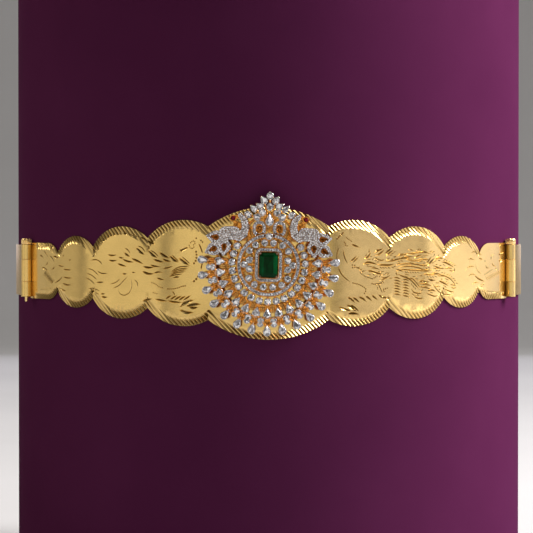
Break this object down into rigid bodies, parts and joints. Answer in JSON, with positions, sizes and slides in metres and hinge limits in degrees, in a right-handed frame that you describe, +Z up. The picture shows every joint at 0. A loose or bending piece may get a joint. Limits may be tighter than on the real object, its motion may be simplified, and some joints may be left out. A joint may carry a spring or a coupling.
{
  "type": "waist belt on display drum",
  "caption": "Gold waist belt with a scalloped, engraved front plate, a jewelled peacock pendant and pinned side hinges, closed round a plain display drum.",
  "frame": {"origin": "centre of the drum's base, on the surface that it stands on", "axes": "+Z up along the drum, -Y out of the belt's front through the pendant, +X to the right as seen from the front"},
  "size_m": [0.2322, 0.2367, 0.28],
  "materials": {
    "drum_card": "matte",
    "engraved_gold": "polished, bright-cut",
    "plain_gold": "polished",
    "pin_gold": "polished",
    "pendant_gold": "polished",
    "green_stone": "faceted",
    "red_stone": "faceted",
    "white_stone": "faceted"
  },
  "bodies": {
    "belt_on_drum": {"display_drum": "drum_card", "front_band": "engraved_gold", "back_band": "plain_gold", "pendant_frame": "pendant_gold", "pendant_post": "plain_gold", "emerald": "green_stone", "ruby_left": "red_stone", "ruby_right": "red_stone", "stones_circle": "white_stone", "stones_halo": "white_stone", "stones_loops": "white_stone", "stones_inner": "white_stone", "stones_row_a": "white_stone", "stones_row_b": "white_stone", "stones_row_c": "white_stone", "drop_1": "white_stone", "drop_2": "white_stone", "drop_3": "white_stone", "drop_4": "white_stone", "drop_5": "white_stone", "drop_6": "white_stone", "drop_7": "white_stone", "drop_8": "white_stone", "drop_9": "white_stone", "drop_10": "white_stone", "drop_11": "white_stone", "drop_12": "white_stone", "drop_13": "white_stone", "drop_14": "white_stone", "drop_15": "white_stone", "crest_1": "white_stone", "crest_2": "white_stone", "crest_3": "white_stone", "crest_4": "white_stone", "crest_5": "white_stone", "crest_6": "white_stone", "crest_7": "white_stone", "crest_8": "white_stone", "crest_9": "white_stone", "crest_10": "white_stone", "crest_11": "white_stone", "crest_12": "white_stone", "crest_13": "white_stone", "crest_14": "white_stone", "crest_15": "white_stone", "crest_16": "white_stone"},
    "left_pin": {"pin_left": "pin_gold"},
    "right_pin": {"pin_right": "pin_gold"}
  },
  "joints": [
    {"name": "left_pin_pull", "type": "slide", "parent": "belt_on_drum", "child": "left_pin", "axis": [0, 0, 1], "range_m": [0, 0.028]},
    {"name": "right_pin_pull", "type": "slide", "parent": "belt_on_drum", "child": "right_pin", "axis": [0, 0, 1], "range_m": [0, 0.024]}
  ]
}
